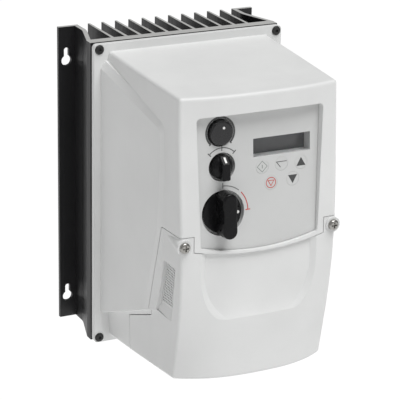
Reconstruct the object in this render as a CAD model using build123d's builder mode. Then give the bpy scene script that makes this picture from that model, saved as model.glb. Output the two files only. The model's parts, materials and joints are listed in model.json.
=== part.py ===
from build123d import *
import os

# Wall-mounted sealed variable frequency drive, modelled in millimetres.
# Origin: centre of the four keyholes, on the wall plane. +X right, +Y into the wall, +Z up.
# "Depth" is the distance in front of the wall, so a point at depth d has y = -d.

# ---------------------------------------------------------------- driving dimensions
WIDTH = 161.0                 # over the keyhole flanges
HEIGHT = 232.0
DEPTH = 179.0                 # wall to the middle of the front
KEYHOLE_SPACING_X = 148.5
KEYHOLE_SPACING_Z = 189.0
TOP = KEYHOLE_SPACING_Z / 2 + 26.0
BOTTOM = TOP - HEIGHT
MIDDLE = (TOP + BOTTOM) / 2

KEYHOLE_R = 4.0               # round part, passes the screw head
SLOT_R = 2.0                  # slot above it, takes the screw shank
SLOT_RISE = 8.0               # from the round part's centre to the slot's top centre

FLANGE_THICK = 3.0
PLATE_BACK = 44.0             # depth of the base plate's rear face, where the fins start
PLATE_FRONT = 52.5            # depth of the base plate's front face
PLATE_HALF = 76.0
FIN_COUNT = 11
FIN_PITCH = 11.0
FIN_TIP_HALF = 0.8
FIN_ROOT_HALF = 1.2

GASKET_FRONT = 55.0
HOUSING_FLANGE_FRONT = 59.0
SHELL = 3.0                   # moulded wall
CORNER_SCREW_X = 71.8
CORNER_SCREW_HIGH = TOP - 3.9
CORNER_SCREW_LOW = BOTTOM + 3.9

PANEL_DEPTH = 169.3           # front face of the keypad film, at the panel's middle height
PANEL_MIDDLE = 64.0
PANEL_SLOPE = 0.075           # the panel's lower edge stands further forward than its top
FILM_THICK = 0.5
FLOOR_DEPTH = PANEL_DEPTH - FILM_THICK
FLOOR_BACK = FLOOR_DEPTH - SHELL

SPEED_AT = (-28.9, 81.3)
SELECTOR_AT = (-27.9, 56.75)
ISOLATOR_AT = (-27.5, 23.75)
SPEED_DISH_R = 10.0
SELECTOR_DISH_R = 10.2
ISOLATOR_DISH_R = 16.4
DISH_DEPTH = 4.0
DISH_WALL = 2.2
SHAFT_R = 3.0
RUNNING_GAP = 0.06

WINDOW_LEFT, WINDOW_RIGHT = -3.6, 41.2
WINDOW_LOW, WINDOW_HIGH = 60.6, 73.7
WINDOW_WIDTH = WINDOW_RIGHT - WINDOW_LEFT
WINDOW_HEIGHT = WINDOW_HIGH - WINDOW_LOW
WINDOW_X = (WINDOW_LEFT + WINDOW_RIGHT) / 2
WINDOW_Z = (WINDOW_LOW + WINDOW_HIGH) / 2
WELL_DEPTH = 8.5

KEYS = {
    "key_start": (3.4, 52.9),
    "key_navigate": (18.6, 53.3),
    "key_up": (34.1, 52.5),
    "key_stop": (10.2, 40.5),
    "key_down": (27.4, 41.3),
}
KEY_R = 5.0
KEY_GAP = 0.08
KEY_TRAVEL = 0.5

COVER_SCREW_X = 58.7
COVER_SCREW_Z = 4.0
COVER_GAP = 0.4
EAR_R = 5.6

ENTRY_R = 10.2                # clearance hole for an M20 gland
ENTRY_DEPTH = 79.0
ENTRY_X = (-38.0, 0.0, 38.0)

os.makedirs("parts", exist_ok=True)


def front(depth):
    """Plane parallel to the wall at this depth. Local x is X, local y is Z, normal faces forward."""
    return Plane.XZ.offset(depth)


def finish(builder, name):
    builder.part.label = name
    export_step(builder.part, f"parts/{name}.step")


def panel(depth):
    """Plane parallel to the leaning keypad panel. Local x is X, local y runs up the panel."""
    length = (1 + PANEL_SLOPE ** 2) ** 0.5
    origin_y = -PANEL_DEPTH - PANEL_MIDDLE * PANEL_SLOPE / length
    origin_z = PANEL_MIDDLE - PANEL_MIDDLE / length
    face = Plane(origin=(0, origin_y, origin_z), x_dir=(1, 0, 0), z_dir=(0, -1, PANEL_SLOPE))
    return face.offset(depth - PANEL_DEPTH)


def panel_side(x):
    """Plane across the panel at this x. Local x runs out of the panel's face, local y up it."""
    face = panel(PANEL_DEPTH)
    return Plane(origin=face.from_local_coords((x, 0, 0)), x_dir=face.z_dir,
                 z_dir=face.x_dir * -1)


def disc(depth_back, depth_front, radius, points, level=front):
    """Round solids standing between two depths, as one part for reuse in other blocks."""
    with BuildPart(mode=Mode.PRIVATE) as piece:
        with BuildSketch(level(depth_back)):
            with Locations(*points):
                Circle(radius)
        extrude(amount=depth_front - depth_back)
    return piece.part


def block(x_range, depth_range, z_range, level=front):
    """Box between two limits on each axis, as a part for reuse in other blocks."""
    with BuildPart(mode=Mode.PRIVATE) as piece:
        with BuildSketch(level(depth_range[0])):
            with Locations((sum(x_range) / 2, sum(z_range) / 2)):
                Rectangle(x_range[1] - x_range[0], z_range[1] - z_range[0])
        extrude(amount=depth_range[1] - depth_range[0])
    return piece.part


# ---------------------------------------------------------------- heat sink
WALL_OUTER = 67.5             # side wall where it stands square to the wall
WALL_INNER = 64.2
BEND_DEPTH = 17.3             # where the side wall starts to lean out towards the plate
half_profile = [
    (0, -PLATE_BACK), (72.3, -PLATE_BACK), (WALL_INNER, -BEND_DEPTH), (WALL_INNER, 0),
    (WIDTH / 2, 0), (WIDTH / 2, -FLANGE_THICK), (WALL_OUTER, -FLANGE_THICK),
    (WALL_OUTER, -BEND_DEPTH), (PLATE_HALF, -PLATE_BACK - 1.5), (PLATE_HALF, -PLATE_FRONT),
    (0, -PLATE_FRONT),
]
SCREW_HEAD_CLEARANCE_R = 7.0
corner_points = [(x, z) for x in (-CORNER_SCREW_X, CORNER_SCREW_X)
                 for z in (CORNER_SCREW_LOW, CORNER_SCREW_HIGH)]
keyhole_points = [(x, z) for x in (-KEYHOLE_SPACING_X / 2, KEYHOLE_SPACING_X / 2)
                  for z in (-KEYHOLE_SPACING_Z / 2, KEYHOLE_SPACING_Z / 2)]
PILLAR_POINTS = [(x, z) for x in (-50, 50) for z in (-60, 88)]
MODULE_SCREW_POINTS = [(-40, 5), (40, 5)]
GROUND_POINT = [(50, -92)]

with BuildPart() as heatsink:
    with BuildSketch(Plane.XY.offset(BOTTOM)) as sink_profile:
        with BuildLine():
            Polyline(*half_profile)
            mirror(about=Plane.YZ)
        make_face()
        bends = [v for v in sink_profile.vertices() if abs(v.Y + BEND_DEPTH) < 0.1]
        fillet(bends, 16)
        with Locations(*[((i - (FIN_COUNT - 1) / 2) * FIN_PITCH, 0) for i in range(FIN_COUNT)]):
            Polygon((-FIN_ROOT_HALF, -PLATE_BACK - 0.5), (FIN_ROOT_HALF, -PLATE_BACK - 0.5),
                    (FIN_TIP_HALF, 0), (-FIN_TIP_HALF, 0), align=None)
    extrude(amount=HEIGHT)
    # keyholes, and the milled clearance for screw heads beside them
    with BuildSketch(front(-1)):
        with Locations(*keyhole_points):
            Circle(KEYHOLE_R)
            with Locations((0, SLOT_RISE / 2)):
                Rectangle(2 * SLOT_R, SLOT_RISE)
            with Locations((0, SLOT_RISE)):
                Circle(SLOT_R)
    extrude(amount=FLANGE_THICK + 2, mode=Mode.SUBTRACT)
    with BuildSketch(front(FLANGE_THICK)):
        with Locations(*keyhole_points):
            Circle(SCREW_HEAD_CLEARANCE_R)
            with Locations((0, SLOT_RISE)):
                Circle(SCREW_HEAD_CLEARANCE_R - 1.2)
    extrude(amount=21, mode=Mode.SUBTRACT)
    # tapped holes in the plate's front face
    with BuildSketch(front(PLATE_FRONT)):
        with Locations(*corner_points, *GROUND_POINT):
            Circle(2.0)
        with Locations(*PILLAR_POINTS, *MODULE_SCREW_POINTS):
            Circle(1.5)
    extrude(amount=-6, mode=Mode.SUBTRACT)
finish(heatsink, "heatsink")

# ---------------------------------------------------------------- base gasket
GASKET_HALF = 75.4
with BuildPart() as base_gasket:
    with BuildSketch(front(PLATE_FRONT)):
        with Locations((0, MIDDLE)):
            RectangleRounded(2 * GASKET_HALF, HEIGHT - 1.4, 2.5)
            RectangleRounded(2 * 62.0, HEIGHT - 22, 5, mode=Mode.SUBTRACT)
        with Locations(*corner_points):
            Circle(2.3, mode=Mode.SUBTRACT)
    extrude(amount=GASKET_FRONT - PLATE_FRONT)
finish(base_gasket, "base_gasket")

# ---------------------------------------------------------------- housing outer form
# Level by level: half width at the back, half width at the front corners, depth of the front
# corners, depth of the front middle.
BACK_OF_FORM = 57.0
LEVELS = [
    (116.0, 63.5, 61.0, 169.0, 175.5),
    (95.0, 67.2, 61.4, 170.0, 175.0),
    (45.0, 67.6, 61.6, 173.2, 175.6),
    (5.0, 67.4, 61.2, 175.2, 177.0),
    (-35.0, 66.6, 60.4, 173.6, 178.4),
    (-70.0, 65.2, 59.8, 168.2, DEPTH),
    (-112.0, 63.0, 59.8, 159.5, DEPTH),
]
FRONT_SHARPNESS = 2.6         # how squarely the convex front turns down at its corners


def form_section(half_back, corner_half, corner_depth, middle_depth, inset):
    """Closed outline of the housing at one level, seen from above."""
    corner_x = corner_half - inset
    bulge = middle_depth - corner_depth
    points = []
    for step in (-1.0, -0.82, -0.55, 0.0, 0.55, 0.82, 1.0):
        depth = corner_depth + bulge * (1 - abs(step) ** FRONT_SHARPNESS) - inset
        points.append((corner_x * step, -depth))
    curve = Spline(*points)
    Polyline(points[-1], (half_back - inset, -BACK_OF_FORM), (-half_back + inset, -BACK_OF_FORM),
             points[0])
    return curve


def housing_form(inset, edge_radius=0):
    """Tapered body with a convex front, cut by the sloping roof and underside."""
    with BuildPart(mode=Mode.PRIVATE) as form:
        for level, half_back, corner_half, corner_depth, middle_depth in LEVELS:
            with BuildSketch(Plane.XY.offset(level)):
                with BuildLine():
                    form_section(half_back, corner_half, corner_depth, middle_depth, inset)
                make_face()
        loft()
        with BuildSketch(Plane.YZ):
            with BuildLine():
                Polyline((-50, 115.0 - inset), (-190, 108.2 - inset), (-190, -99.0 + inset),
                         (-168, -100.6 + inset), (-99, -105.2 + inset), (-50, -107.6 + inset),
                         close=True)
            make_face()
        extrude(amount=90, both=True, mode=Mode.INTERSECT)
        if edge_radius:
            curved = [e for e in form.edges() if e.geom_type != GeomType.LINE]
            fillet([e for e in curved if e.center().Y < -BACK_OF_FORM - 5], edge_radius)
    return form.part


outer_form = housing_form(0, edge_radius=2.4)
inner_form = housing_form(SHELL)

# ---------------------------------------------------------------- raised side panels
# Each outline is (y, z): the flat raised face, and the foot of the bevel around it.
PANEL_FACE = [(-55.5, 103.3), (-147.0, 81.4), (-147.4, 54.3), (-144.5, 8.9), (-125.5, -60.2),
              (-55.5, -88.4)]
PANEL_FOOT = [(-55.5, 109.0), (-151.5, 87.5), (-156.6, 54.0), (-153.5, 8.0), (-145.0, -53.5),
              (-55.5, -89.6)]
SIDE_RISE = 3.2               # from the bevel's foot out to the raised face
SIDE_BACK_X, SIDE_FRONT_X = 71.2, 63.6   # the raised face at y = -50 and at y = -165
SIDE_SLOPE = (SIDE_BACK_X - SIDE_FRONT_X) / 115
HOLLOW_OUTLINE = [(-55.5, 103.3), (-145.0, 81.4), (-147.4, 54.3), (-144.5, 8.9),
                  (-127.0, -60.3), (-55.5, -88.4)]
side_face = Plane(origin=(SIDE_BACK_X, -50, 0), x_dir=(SIDE_SLOPE, 1, 0),
                  z_dir=(1, -SIDE_SLOPE, 0))

with BuildPart() as side_panels:
    for outline, drop, corner in ((PANEL_FACE, 0, 5), (PANEL_FOOT, SIDE_RISE, 9)):
        with BuildSketch(side_face.offset(-drop)) as raised:
            with Locations((50, 0)):
                Polygon(*outline, align=None)
            fillet([v for v in raised.vertices() if v.Y > 75 and v.X < -50], corner)
    loft(ruled=True)
    extrude(raised.sketch, amount=-75)
    split(bisect_by=Plane.YZ)
    mirror(about=Plane.YZ)
    add(block((-80, 80), (0, GASKET_FRONT), (-150, 150)), mode=Mode.SUBTRACT)

with BuildPart() as side_hollow:
    with BuildSketch(Plane.YZ):
        with BuildLine():
            Polyline(*HOLLOW_OUTLINE, close=True)
        make_face()
        offset(amount=0.8, kind=Kind.INTERSECTION)
    extrude(amount=90, both=True)
    with BuildSketch(Plane.XY.offset(-150)):
        Polygon((68.3, -50), (60.2, -165), (-60.2, -165), (-68.3, -50), align=None)
    extrude(amount=300, mode=Mode.INTERSECT)
    outer_faces = [f for f in side_hollow.faces() if abs(f.normal_at().X) > 0.95]
    chamfer([edge for face in outer_faces for edge in face.edges()], 2.95)
    add(block((-80, 80), (40, 62), (-130, 130)), mode=Mode.SUBTRACT)


# ---------------------------------------------------------------- zone of the terminal cover
EAR_TOP = 10.6
EAR_INNER_X = 51.0
LIP_END_Z = -0.9
LIP_MIDDLE_Z = -6.7
SEAM_BACK = 94.5              # the cover reaches back to this depth under the side panels


def cover_zone(gap):
    """Space that belongs to the terminal cover, drawn back by a gap from the seam."""
    with BuildPart(mode=Mode.PRIVATE) as zone:
        with BuildSketch(Plane.YZ):
            Polygon((-SEAM_BACK - gap, -130), (-SEAM_BACK - gap, -76.4 - gap),
                    (-129.8 - gap, -62.8 - gap), (-147.7 - gap, 8.5), (-147.7 - gap, 60),
                    (-200, 60), (-200, -130), align=None)
        extrude(amount=90, both=True)
        with BuildSketch(front(50)):
            with BuildLine():
                edge_x = EAR_INNER_X + gap
                low = LIP_END_Z - gap
                ThreePointArc((-edge_x, low), (0, LIP_MIDDLE_Z - gap), (edge_x, low))
                Polyline((edge_x, low), (edge_x, EAR_TOP - gap), (90, EAR_TOP - gap), (90, -130),
                         (-90, -130), (-90, EAR_TOP - gap), (-edge_x, EAR_TOP - gap),
                         (-edge_x, low))
            make_face()
        extrude(amount=160, mode=Mode.INTERSECT)
    return zone.part


# ---------------------------------------------------------------- keypad recess
RECESS_TOP = 93.4
RECESS_HALF_TOP = 48.6
RECESS_HALF_LOW = 45.7
RECESS_LOW_END = 0.9
RECESS_LOW_MIDDLE = -5.1
RECESS_CORNER = 2.2
RECESS_RISE = 12.0            # the cutter's height in front of the floor
RECESS_FLARE = 1.4            # how much wider the cutter is at that height


def recess_outline(half_top, half_low, top, low_end, low_middle, corner):
    """Face of the recess: straight top, leaning sides, bowed lower edge."""
    with BuildSketch(mode=Mode.PRIVATE) as outline:
        with BuildLine():
            ThreePointArc((-half_low, low_end), (0, low_middle), (half_low, low_end))
            Polyline((half_low, low_end), (half_top, top), (-half_top, top), (-half_low, low_end))
        make_face()
        fillet(outline.vertices(), corner)
    return outline.sketch


with BuildPart() as recess:
    for rise, flare in ((0, 0), (RECESS_RISE, RECESS_FLARE)):
        with BuildSketch(panel(FLOOR_DEPTH + rise)):
            add(recess_outline(RECESS_HALF_TOP + flare, RECESS_HALF_LOW + flare,
                               RECESS_TOP + flare, RECESS_LOW_END - 0.2 * flare,
                               RECESS_LOW_MIDDLE - 0.2 * flare, RECESS_CORNER + flare))
    loft()

# ---------------------------------------------------------------- enclosure
COLLAR_HALF = 55.8            # inner frame that the terminal cover laps over
COLLAR_LOW = -100.4
COLLAR_TOP = -10.0
COLLAR_WALL = 2.5
COLLAR_BACK = 89.5
SILL_FRONT = 170.3            # behind the cover's wall
LIP_ROOT_FRONT = 172.5        # above the seam, under the recess's lower lip
KEYPAD_BOSS_POINTS = [(x, z) for x in (-5.5, 46.0) for z in (31.0, 80.5)]
KEYPAD_PCB_FRONT = 154.6
INSERT_BACK, INSERT_FRONT = 132.0, 142.5
INSERT_R = 2.7
WELL_BACK = PANEL_DEPTH - WELL_DEPTH
knob_dishes = [(SPEED_AT, SPEED_DISH_R), (SELECTOR_AT, SELECTOR_DISH_R),
               (ISOLATOR_AT, ISOLATOR_DISH_R)]
DISH_FLOOR = PANEL_DEPTH - DISH_DEPTH
DISH_BACK = DISH_FLOOR - DISH_WALL
cover_screw_points = [(-COVER_SCREW_X, COVER_SCREW_Z), (COVER_SCREW_X, COVER_SCREW_Z)]

# the collar's front rim leans: low and back at the bottom, high and forward at the top
RIM_LOW = (-103.5, COLLAR_LOW)
RIM_HIGH = (-160.0, COLLAR_TOP)


def collar_ring(inset, wall):
    """Ring across the housing, drawn in from the collar's outside, with its top under the sill."""
    width = 2 * (COLLAR_HALF - inset)
    height = COLLAR_TOP - COLLAR_LOW - 2 * inset
    with BuildSketch(mode=Mode.PRIVATE) as ring:
        with Locations((0, (COLLAR_LOW + COLLAR_TOP) / 2)):
            RectangleRounded(width, height, 6)
            RectangleRounded(width - 2 * wall, height - 2 * wall, 4, mode=Mode.SUBTRACT)
    return ring.sketch


def rim_slab(low_offset, high_offset):
    """Slab parallel to the collar's leaning rim, between two forward offsets from it."""
    lean = (RIM_HIGH[0] - RIM_LOW[0], RIM_HIGH[1] - RIM_LOW[1])
    length = (lean[0] ** 2 + lean[1] ** 2) ** 0.5
    out = (-lean[1] / length, lean[0] / length)
    far = 40 / length             # the slab runs on past both ends of the rim
    low_end = (RIM_LOW[0] - lean[0] * far, RIM_LOW[1] - lean[1] * far)
    high_end = (RIM_HIGH[0] + lean[0] * far, RIM_HIGH[1] + lean[1] * far)
    corners = []
    for (y, z), amount in ((low_end, low_offset), (high_end, low_offset),
                           (high_end, high_offset), (low_end, high_offset)):
        corners.append((y + out[0] * amount, z + out[1] * amount))
    with BuildPart(mode=Mode.PRIVATE) as slab:
        with BuildSketch(Plane.YZ):
            Polygon(*corners, align=None)
        extrude(amount=90, both=True)
    return slab.part


with BuildPart() as collar:
    with BuildSketch(front(COLLAR_BACK)):
        add(collar_ring(0, COLLAR_WALL))
    extrude(amount=SILL_FRONT - COLLAR_BACK)
    add(rim_slab(-120, 0), mode=Mode.INTERSECT)
    # the control board passes through the open middle of the collar's top wall
    add(block((-51.8, 51.8), (88, 138), (-14, -8)), mode=Mode.SUBTRACT)

# web from the collar out to the housing wall, and the shelf that closes it above
with BuildPart() as collar_web:
    add(block((-70, 70), (COLLAR_BACK, COLLAR_BACK + 3), (-108, COLLAR_TOP)))
    add(block((-70, 70), (COLLAR_BACK, 142), (COLLAR_TOP - COLLAR_WALL, COLLAR_TOP)))
    add(block((-COLLAR_HALF + 1.5, COLLAR_HALF - 1.5), (88, 151), (COLLAR_LOW + 1.5, 0)),
        mode=Mode.SUBTRACT)
    add(outer_form, mode=Mode.INTERSECT)

# walls that close the housing behind each screw ear
with BuildPart() as ear_pockets:
    for low_x, high_x in ((-72, -48), (48, 72)):
        add(block((low_x, high_x), (140, 168), (COLLAR_TOP - COLLAR_WALL, 13.6)))
    add(outer_form, mode=Mode.INTERSECT)

keypad_floor = block((-80, 80), (FLOOR_BACK, 200), (-8, 130), level=panel)
with BuildPart() as hollow:
    add(inner_form)
    add(side_hollow.part)
    add(keypad_floor, mode=Mode.SUBTRACT)
    add(ear_pockets.part, mode=Mode.SUBTRACT)

sill_end = EAR_INNER_X - 0.5
sill_root = (block((-sill_end, sill_end), (154, 159), (COLLAR_TOP - 1, -1.8))
             + block((-sill_end, sill_end), (154, 168), (COLLAR_TOP + 0.3, -1.8)))
WELL_WALL = 1.2
window_frame = block((WINDOW_LEFT - WELL_WALL, WINDOW_RIGHT + WELL_WALL), (WELL_BACK, FLOOR_BACK),
                     (WINDOW_LOW - WELL_WALL, WINDOW_HIGH + WELL_WALL), level=panel)
window_well = block((WINDOW_LEFT, WINDOW_RIGHT), (WELL_BACK - 1, PANEL_DEPTH),
                    (WINDOW_LOW, WINDOW_HIGH), level=panel)
insert_bosses = disc(INSERT_BACK - 4, INSERT_FRONT, 4.9, cover_screw_points) & side_panels.part
entry_points = [(x, -ENTRY_DEPTH) for x in ENTRY_X]

with BuildPart() as enclosure:
    with BuildSketch(front(GASKET_FRONT)):
        with Locations((0, MIDDLE)):
            RectangleRounded(2 * PLATE_HALF, HEIGHT, 3)
    extrude(amount=HOUSING_FLANGE_FRONT - GASKET_FRONT)
    add(outer_form)
    add(side_panels.part)
    # hollow, leaving the keypad floor and its thick rim
    add(hollow.part, mode=Mode.SUBTRACT)
    with BuildSketch(front(50)):
        with Locations((0, MIDDLE)):
            RectangleRounded(2 * 61.5, HEIGHT - 23, 5)
    extrude(amount=10, mode=Mode.SUBTRACT)
    add(cover_zone(0), mode=Mode.SUBTRACT)
    # inner collar behind the terminal cover, and the sill that carries the recess's lower lip
    add(collar.part)
    add(collar_web.part)
    add(sill_root)
    for drop, sill_front in ((1.6, SILL_FRONT), (0, LIP_ROOT_FRONT)):
        with BuildSketch(front(FLOOR_BACK - 2)):
            with BuildLine():
                ThreePointArc((-sill_end, LIP_END_Z - drop), (0, LIP_MIDDLE_Z - drop),
                              (sill_end, LIP_END_Z - drop))
                Polyline((sill_end, LIP_END_Z - drop), (sill_end, 3), (-sill_end, 3),
                         (-sill_end, LIP_END_Z - drop))
            make_face()
        extrude(amount=sill_front - FLOOR_BACK + 2)
    add(recess.part, mode=Mode.SUBTRACT)
    # bosses behind the knob dishes, around the display well and for the keypad board
    for dish_at, dish_r in knob_dishes:
        add(disc(DISH_BACK, FLOOR_BACK, dish_r + DISH_WALL, [dish_at], panel))
    add(window_frame)
    add(disc(KEYPAD_PCB_FRONT, FLOOR_BACK, 2.8, KEYPAD_BOSS_POINTS, panel))
    add(insert_bosses)
    # flat pads for the cable glands
    with BuildSketch(Plane.XY.offset(-107.2)):
        with Locations(*entry_points):
            Circle(13.0)
    extrude(amount=4.6)
    # openings
    for dish_at, dish_r in knob_dishes:
        add(disc(DISH_FLOOR, PANEL_DEPTH, dish_r, [dish_at], panel), mode=Mode.SUBTRACT)
        add(disc(DISH_BACK - 1, DISH_FLOOR, SHAFT_R + RUNNING_GAP, [dish_at], panel),
            mode=Mode.SUBTRACT)
        add(disc(DISH_BACK - 1, DISH_BACK + 1.2, SHAFT_R + 1.5, [dish_at], panel),
            mode=Mode.SUBTRACT)
    add(window_well, mode=Mode.SUBTRACT)
    add(disc(FLOOR_BACK - 1, PANEL_DEPTH, KEY_R + KEY_GAP, KEYS.values(), panel),
        mode=Mode.SUBTRACT)
    add(disc(KEYPAD_PCB_FRONT, FLOOR_BACK - 1, 1.0, KEYPAD_BOSS_POINTS, panel),
        mode=Mode.SUBTRACT)
    add(disc(INSERT_BACK, INSERT_FRONT, INSERT_R, cover_screw_points), mode=Mode.SUBTRACT)
    add(disc(INSERT_BACK, INSERT_FRONT + 8, 2.1, cover_screw_points), mode=Mode.SUBTRACT)
    add(disc(GASKET_FRONT, HOUSING_FLANGE_FRONT, 2.2, corner_points), mode=Mode.SUBTRACT)
    add(disc(56.2, HOUSING_FLANGE_FRONT, 3.5, corner_points), mode=Mode.SUBTRACT)
    with BuildSketch(Plane.XY.offset(-108)):
        with Locations(*entry_points):
            Circle(ENTRY_R)
    extrude(amount=6, mode=Mode.SUBTRACT)
finish(enclosure, "enclosure")

# ---------------------------------------------------------------- terminal cover
HEAD_SEAT = 176.4             # face of the screw ears
EAR_TIP = 150.5               # depth where each ear starts to swell out of the side
SCREW_CLEAR_R = 2.1


def screw_ear(x, z):
    """Skewed cone that grows out of the side wall into a round boss."""
    outward = 1.6 if x > 0 else -1.6
    with BuildPart(mode=Mode.PRIVATE) as ear:
        with BuildSketch(front(EAR_TIP)):
            with Locations((x + outward, z + 3.4)):
                Circle(1.3)
        with BuildSketch(front(HEAD_SEAT - 2.5)):
            with Locations((x, z)):
                Circle(EAR_R)
        loft()
        add(disc(HEAD_SEAT - 2.5, HEAD_SEAT, EAR_R, [(x, z)]))
    return ear.part


screw_columns = disc(149, HEAD_SEAT - 1, 4.3, cover_screw_points) & outer_form

# mesh windows low on each side of the cover
GRILLE_OUTLINE = [(-150.6, -13.6), (-167.6, -14.8), (-162.0, -49.0), (-160.4, -56.6),
                  (-139.2, -55.6), (-142.0, -49.5)]
GRILLE_BACK_X, GRILLE_FRONT_X = 57.9, 59.5


def grille_prism(shrink):
    """Window shape run through both side walls of the cover."""
    with BuildPart(mode=Mode.PRIVATE) as prism:
        with BuildSketch(Plane.YZ.offset(GRILLE_BACK_X - 3)):
            with BuildLine():
                Polyline(*GRILLE_OUTLINE, close=True)
            make_face()
            if shrink:
                offset(amount=-shrink, kind=Kind.INTERSECTION)
        extrude(amount=12)
        mirror(about=Plane.YZ)
    return prism.part


# rib inside the cover that presses on the seal
SEAL_THICK = 1.6
SEAL_GAP = 0.4
with BuildPart() as seal_rib:
    with BuildSketch(front(COLLAR_BACK)):
        add(collar_ring(0.3, COLLAR_WALL - 0.6))
    extrude(amount=DEPTH - COLLAR_BACK)
    add(rim_slab(SEAL_THICK + SEAL_GAP, 120), mode=Mode.INTERSECT)
    add(housing_form(SHELL - 0.4), mode=Mode.INTERSECT)

# shallow dish in the cover's front, under the keypad
# Level by level: half width at the rim, half width of the floor, how deep the floor lies.
COVER_WALL = 2.4
RIM_OVER = 0.5                # the cutter rises this far over the surface at the rim
DISH_LEVELS = [
    (20.0, 46.5, 42.0, 2.4),
    (-8.0, 46.0, 41.2, 2.4),
    (-35.0, 44.5, 39.0, 2.4),
    (-46.0, 40.0, 33.0, 1.9),
    (-57.0, 29.0, 20.0, -1.5),
]


def front_depth(x, z):
    """Depth of the housing's front surface, taken between the two nearest levels."""
    for upper, lower in zip(LEVELS, LEVELS[1:]):
        if lower[0] <= z:
            break
    share = (z - lower[0]) / (upper[0] - lower[0])
    corner_half, corner_depth, middle_depth = [
        low + share * (high - low) for high, low in zip(upper[2:], lower[2:])]
    rise = 1 - abs(x / corner_half) ** FRONT_SHARPNESS
    return corner_depth + (middle_depth - corner_depth) * rise


def dish_cutter(extra):
    """Everything in front of the dish's surface, grown by an extra amount."""
    with BuildPart(mode=Mode.PRIVATE) as cutter:
        for level, rim_half, floor_half, drop in DISH_LEVELS:
            with BuildSketch(Plane.XY.offset(level)):
                with BuildLine():
                    floor_points = []
                    for step in (-1.0, -0.75, -0.4, 0.0, 0.4, 0.75, 1.0):
                        x = step * (floor_half + extra)
                        floor_points.append((x, -front_depth(x, level) + drop + extra))
                    Spline(*floor_points)
                    rim_x = rim_half + extra
                    rim_y = -front_depth(rim_x, level) - RIM_OVER + extra
                    Polyline(floor_points[-1], (rim_x, rim_y), (rim_x, -195), (-rim_x, -195),
                             (-rim_x, rim_y), floor_points[0])
                make_face()
        loft()
    return cutter.part


# the hollow follows the dish, so the wall keeps its thickness there
with BuildPart() as cover_hollow:
    add(inner_form)
    add(dish_cutter(COVER_WALL), mode=Mode.SUBTRACT)

with BuildPart() as terminal_cover:
    add(outer_form)
    add(side_panels.part)
    add(cover_hollow.part, mode=Mode.SUBTRACT)
    add(screw_columns)
    for x, z in cover_screw_points:
        add(screw_ear(x, z))
    add(seal_rib.part)
    add(dish_cutter(0), mode=Mode.SUBTRACT)
    add(cover_zone(COVER_GAP), mode=Mode.INTERSECT)
    add(grille_prism(0) - block((-56, 56), (120, 180), (-70, 0)), mode=Mode.SUBTRACT)
    # clearance for the captive screws, with a seat for each head
    add(disc(140, HEAD_SEAT + 1, SCREW_CLEAR_R, cover_screw_points), mode=Mode.SUBTRACT)
finish(terminal_cover, "terminal_cover")

# ---------------------------------------------------------------- housing fasteners
with BuildPart() as housing_screws:
    add(disc(56.2, 57.5, 3.3, corner_points))
    add(disc(PLATE_FRONT - 5.5, 56.2, 1.95, corner_points))
    add(disc(56.9, 57.5, 1.2, corner_points), mode=Mode.SUBTRACT)
finish(housing_screws, "housing_screws")

with BuildPart() as screw_plugs:
    with BuildSketch(front(57.5)):
        with Locations(*corner_points):
            Circle(3.45)
    extrude(amount=2.6)
    fillet(screw_plugs.edges().filter_by(GeomType.CIRCLE).group_by(Axis.Y)[0], 1.0)
    with BuildSketch(front(60.1)):
        with Locations(*corner_points):
            RegularPolygon(1.3, 6)
    extrude(amount=-0.9, mode=Mode.SUBTRACT)
finish(screw_plugs, "screw_plugs")

with BuildPart() as cover_inserts:
    add(disc(INSERT_BACK + 0.2, INSERT_FRONT, INSERT_R, cover_screw_points))
    add(disc(INSERT_BACK, INSERT_FRONT + 1, 1.95, cover_screw_points), mode=Mode.SUBTRACT)
finish(cover_inserts, "cover_inserts")

HEAD_R = 3.9
HEAD_HIGH = 2.4
for name, x in (("cover_screw_left", -COVER_SCREW_X), ("cover_screw_right", COVER_SCREW_X)):
    at_screw = [(x, COVER_SCREW_Z)]
    with BuildPart() as cover_screw:
        with BuildSketch(front(HEAD_SEAT)):
            with Locations(*at_screw):
                Circle(HEAD_R)
        extrude(amount=HEAD_HIGH)
        fillet(cover_screw.edges().group_by(Axis.Y)[0], 1.5)
        with BuildSketch(front(HEAD_SEAT + HEAD_HIGH)):
            with Locations(*at_screw):
                Rectangle(4.4, 1.1)
                Rectangle(1.1, 4.4)
        extrude(amount=-1.4, mode=Mode.SUBTRACT)
        add(disc(138.5, HEAD_SEAT, 1.85, at_screw))
    finish(cover_screw, name)

# ---------------------------------------------------------------- terminal cover seal
with BuildPart() as cover_seal:
    with BuildSketch(front(COLLAR_BACK)):
        add(collar_ring(0.2, COLLAR_WALL - 0.4))
    extrude(amount=SILL_FRONT - COLLAR_BACK)
    add(rim_slab(0, SEAL_THICK), mode=Mode.INTERSECT)
finish(cover_seal, "cover_seal")

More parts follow.
